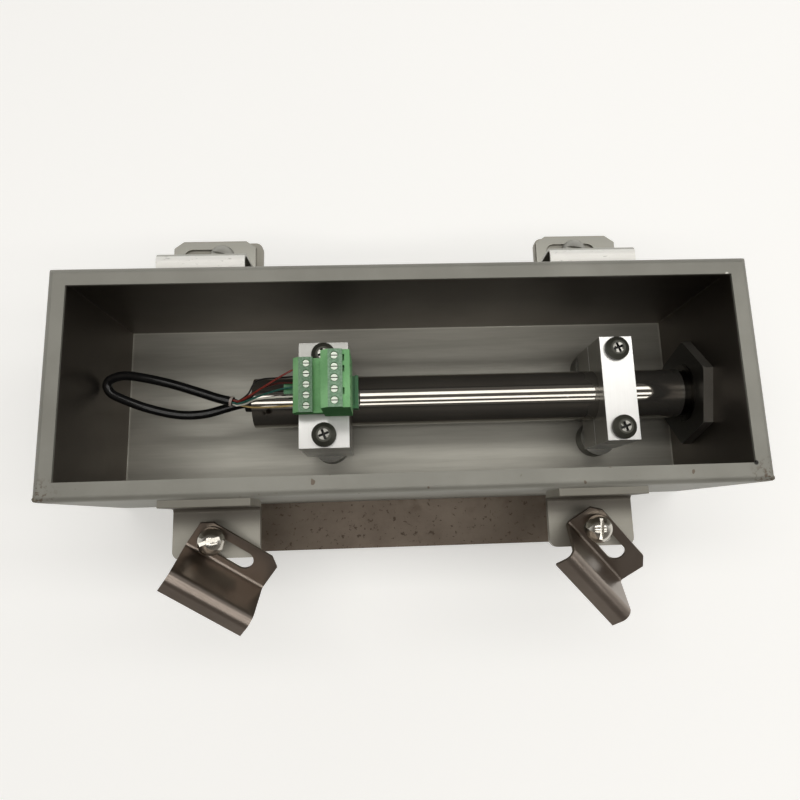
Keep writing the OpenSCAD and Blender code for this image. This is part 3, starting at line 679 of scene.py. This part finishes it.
# %% Weld lumps
def add_piece(name, mesh, look, body="housing", smooth=True):
    """Turn a bmesh into an object that moves with one body; slot is the record's material."""
    bmesh.ops.recalc_face_normals(mesh, faces=mesh.faces)
    for face in mesh.faces:
        face.smooth = smooth
    data = bpy.data.meshes.new(name)
    mesh.to_mesh(data)
    mesh.free()
    piece = bpy.data.objects.new(name, data)
    scene.collection.objects.link(piece)
    data.materials.append(materials[look])
    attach(piece, body)
    return piece


def add_lump(mesh, place, radius, push=0.18):
    made = bmesh.ops.create_icosphere(
        mesh, subdivisions=3, radius=1.0, matrix=Matrix.Translation(place))
    for vert in made["verts"]:
        out = vert.co - place
        wave = noise.noise(vert.co * 900.0) - 0.5
        vert.co = place + out * radius * (1.0 + push * wave)


def corner_lumps(side, steps):
    """Lumps down one front corner; side is -1 for the left end and 1 for the right."""
    mesh = bmesh.new()
    edge = low("enclosure").x if side < 0 else high("enclosure").x
    front = low("enclosure").y
    depth = 0.0
    for radius, inward in steps:
        radius = radius * MM
        depth += radius
        place = Vector((edge - side * (radius + inward * MM), front + radius, rim_z - depth))
        add_lump(mesh, place, radius)
        depth += radius * 0.55
    return mesh


WELD_STEPS = {
    -1: [(1.5, 0.0), (1.3, 0.5), (1.6, 0.0), (1.2, 0.6), (1.4, 0.1), (1.1, 0.4)],
    1: [(1.6, 0.0), (1.2, 0.3), (1.4, 0.1), (1.5, 0.0), (1.1, 0.5)],
}
for side, steps in WELD_STEPS.items():
    name = "weld_front_left" if side < 0 else "weld_front_right"
    piece = add_piece(name, corner_lumps(side, steps), "weld_steel")
    print(name, len(piece.data.polygons), "faces")

# %% [markdown]
# ## Threads
#
# CAD keeps threads as plain cylinders. Here a sharp ridge is wound round each bare shank: a
# small triangle spun about the axis while it moves along it. The four clamp screws show
# their threads under the brackets, and the bulkhead fitting shows a coarser one outside
# the locknut.


# %% Threads
def add_thread(name, start, along, length, radius, pitch, slot, steps=32):
    """Ridge wound on a shank from start, as long as whole turns fit in length."""
    mesh = bmesh.new()
    side = along.orthogonal().normalized()
    depth = 0.3 * pitch
    profile = [(-0.2 * pitch, 0.0), (depth, 0.42 * pitch), (-0.2 * pitch, 0.84 * pitch)]
    corners = [mesh.verts.new(start + side * (radius + r) + along * h) for r, h in profile]
    edges = [mesh.edges.new((corners[i], corners[(i + 1) % 3])) for i in range(3)]
    turns = int(length / pitch) - 1
    bmesh.ops.spin(
        mesh, geom=corners + edges, cent=start, axis=along, dvec=along * pitch / steps,
        angle=2 * math.pi * turns, steps=steps * turns)
    rims = [edge for edge in mesh.edges if edge.is_boundary]
    bmesh.ops.holes_fill(mesh, edges=rims, sides=3)
    return add_piece(name, mesh, slot, smooth=False)


SCREW_R = 3.0 * MM
DOWN = Vector((0, 0, -1))
SCREW_TIPS_MM = {"front_left": 0.0, "front_right": 2.1, "rear_left": 0.0, "rear_right": 0.0}
for place, tip_mm in SCREW_TIPS_MM.items():
    row = "clamp_screws_" + place.split("_")[0]
    bracket = "bracket_" + place
    start = Vector((middle(bracket).x, middle(row).y, low(bracket).z - 0.3 * MM))
    length = start.z - low(row).z - tip_mm * MM
    piece = add_thread("thread_" + place, start, DOWN, length, SCREW_R, 1.0 * MM, "bright_screw")
    print(piece.name, len(piece.data.polygons), "faces")

fitting_start = Vector((high("outer_locknut").x + 0.2 * MM, tube_mid.y, tube_mid.z))
fitting_run = high("front_fitting").x - fitting_start.x
fitting_r = (high("front_fitting").z - low("front_fitting").z) / 2
thread = add_thread(
    "thread_fitting", fitting_start, Vector((1, 0, 0)), fitting_run, fitting_r, 1.5 * MM,
    "fitting_steel", steps=72)
print(thread.name, "%.1f mm long" % (fitting_run / MM))

# %% [markdown]
# ## Cable and leads
#
# The cable leaves the sensor's cap, turns back at the left end of the box and ends above the
# tube, where six thin leads fan out to the lower terminal strip. Each is a round tube swept
# along a smooth curve, the same curve as in CAD but with many more sides and rings.


# %% Cable and leads
def blend_point(a, b, c, d, t):
    """Point between b and c on a smooth curve through a, b, c and d."""
    return 0.5 * (
        (2 * b)
        + (c - a) * t
        + (2 * a - 5 * b + 4 * c - d) * t**2
        + (3 * b - a - 3 * c + d) * t**3
    )


def smooth_path(points, steps):
    last = len(points) - 1
    path = []
    for i in range(last):
        around = [points[max(i - 1, 0)], points[i], points[i + 1], points[min(i + 2, last)]]
        path += [blend_point(*around, k / steps) for k in range(steps)]
    return path + [points[last]]


def from_mm(home, points):
    return [home + Vector(p) * MM for p in points]


def add_tube(name, path, diameter, slot):
    """Round tube along a path, as a curve of one open spline."""
    data = bpy.data.curves.new(name, "CURVE")
    data.dimensions = "3D"
    data.bevel_depth = diameter / 2
    data.bevel_resolution = 5
    data.use_fill_caps = True
    line = data.splines.new("POLY")
    line.points.add(len(path) - 1)
    for point, place in zip(line.points, path):
        point.co = (*place, 1.0)
    line.use_smooth = True
    tube = bpy.data.objects.new(name, data)
    scene.collection.objects.link(tube)
    data.materials.append(materials[slot])
    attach(tube, "housing")
    return tube


def path_length(path):
    return sum((b - a).length for a, b in zip(path, path[1:]))


CABLE_D = 4.6 * MM
LEAD_D = 0.9 * MM
LEAD_CIRCLE = 1.25 * MM
CABLE_TURNS_MM = [
    (2, 0, 0), (-6.5, 0, 0), (-14.5, -2, 0.3), (-25.5, -5, 1.3), (-37.5, -5.4, 2.8),
    (-51.5, -2.4, 4.8), (-63.5, 2.1, 6.3), (-70.1, 5.6, 7.3), (-71.9, 9.6, 8.3),
    (-69, 12.6, 9.3), (-60.5, 13.6, 10.3), (-42.5, 9.6, 11.3), (-25.5, 4, 12.3),
    (-16.5, 0.8, 12.9), (-8.5, -1.4, 13.3),
]
LEADS_MM = {
    "red": (120, [(-24.4, -3.4, -6.1), (-13.8, 1.4, -0.9), (-6, 5.2, 2), (-1, 7.8, 2.3),
                  (0.8, 8.4, 2.1), (2.4, 8.4, 2.1)]),
    "black": (180, [(-23.4, -1.2, -7.3), (-20, 3.6, -5.1), (-15.4, 5.2, -3.3), (-7.4, 5, -0.6),
                    (-0.8, 4.8, 1.9), (0.8, 4.8, 2.1), (2.4, 4.8, 2.1)]),
    "brown": (240, [(-23, -2.4, -8.9), (-16.6, 1, -5.7), (-8.4, 2.2, -0.6), (-0.8, 1.8, 1.9),
                    (0.8, 1.6, 2.1), (2.4, 1.6, 2.1)]),
    "green": (60, [(-25, -5, -7.3), (-16, -2.6, -3.7), (-6.8, -0.9, 0.3), (-0.8, -0.3, 1.9),
                   (0.8, -0.2, 2.1), (2.4, -0.2, 2.1)]),
    "white": (0, [(-24.6, -5.6, -8.9), (-19.6, -4.2, -6.3), (-10, -4.4, -1.5),
                  (-0.8, -4.8, 1.9), (0.8, -4.8, 2.1), (2.4, -4.8, 2.1)]),
    "yellow": (308, [(-26.2, -6.4, -11), (-20.6, -7.7, -8.5), (-11, -8.8, -2.5),
                     (-0.8, -9.2, 1.9), (0.8, -9.2, 2.1), (2.4, -9.2, 2.1)]),
}

cable_home = Vector((tube_rear, tube_mid.y, tube_mid.z))
cable_points = from_mm(cable_home, CABLE_TURNS_MM)
cable_path = smooth_path(cable_points, 12)
coarse_path = smooth_path(cable_points, 4)
cable = add_tube("cable", cable_path, CABLE_D, "black_jacket")
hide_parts("sensor_cable")
path_length(cable_path)
cable_end = cable_path[-1]
heading = (coarse_path[-1] - coarse_path[-2]).normalized()
across = heading.cross(Vector((0, 0, 1))).normalized()
upward = across.cross(heading)
strip_box = low("terminal_strip_lower"), high("terminal_strip_lower")
lead_home = Vector((strip_box[0].x, (strip_box[0].y + strip_box[1].y) / 2, strip_box[0].z))
for colour, (angle, points_mm) in LEADS_MM.items():
    around = math.radians(angle)
    start = cable_end + LEAD_CIRCLE * (math.cos(around) * across + math.sin(around) * upward)
    points = [start + heading * d * MM for d in (0, 1.2, 2.6)] + from_mm(lead_home, points_mm)
    path = smooth_path(points, 8)
    add_tube("wire_" + colour, path, LEAD_D, "wire_" + colour)
    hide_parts("lead_" + colour)
    path_length(path)
    print("lead", colour, "%.1f mm" % (path_length(path) / MM))
print("cable %.1f mm" % (path_length(cable_path) / MM))
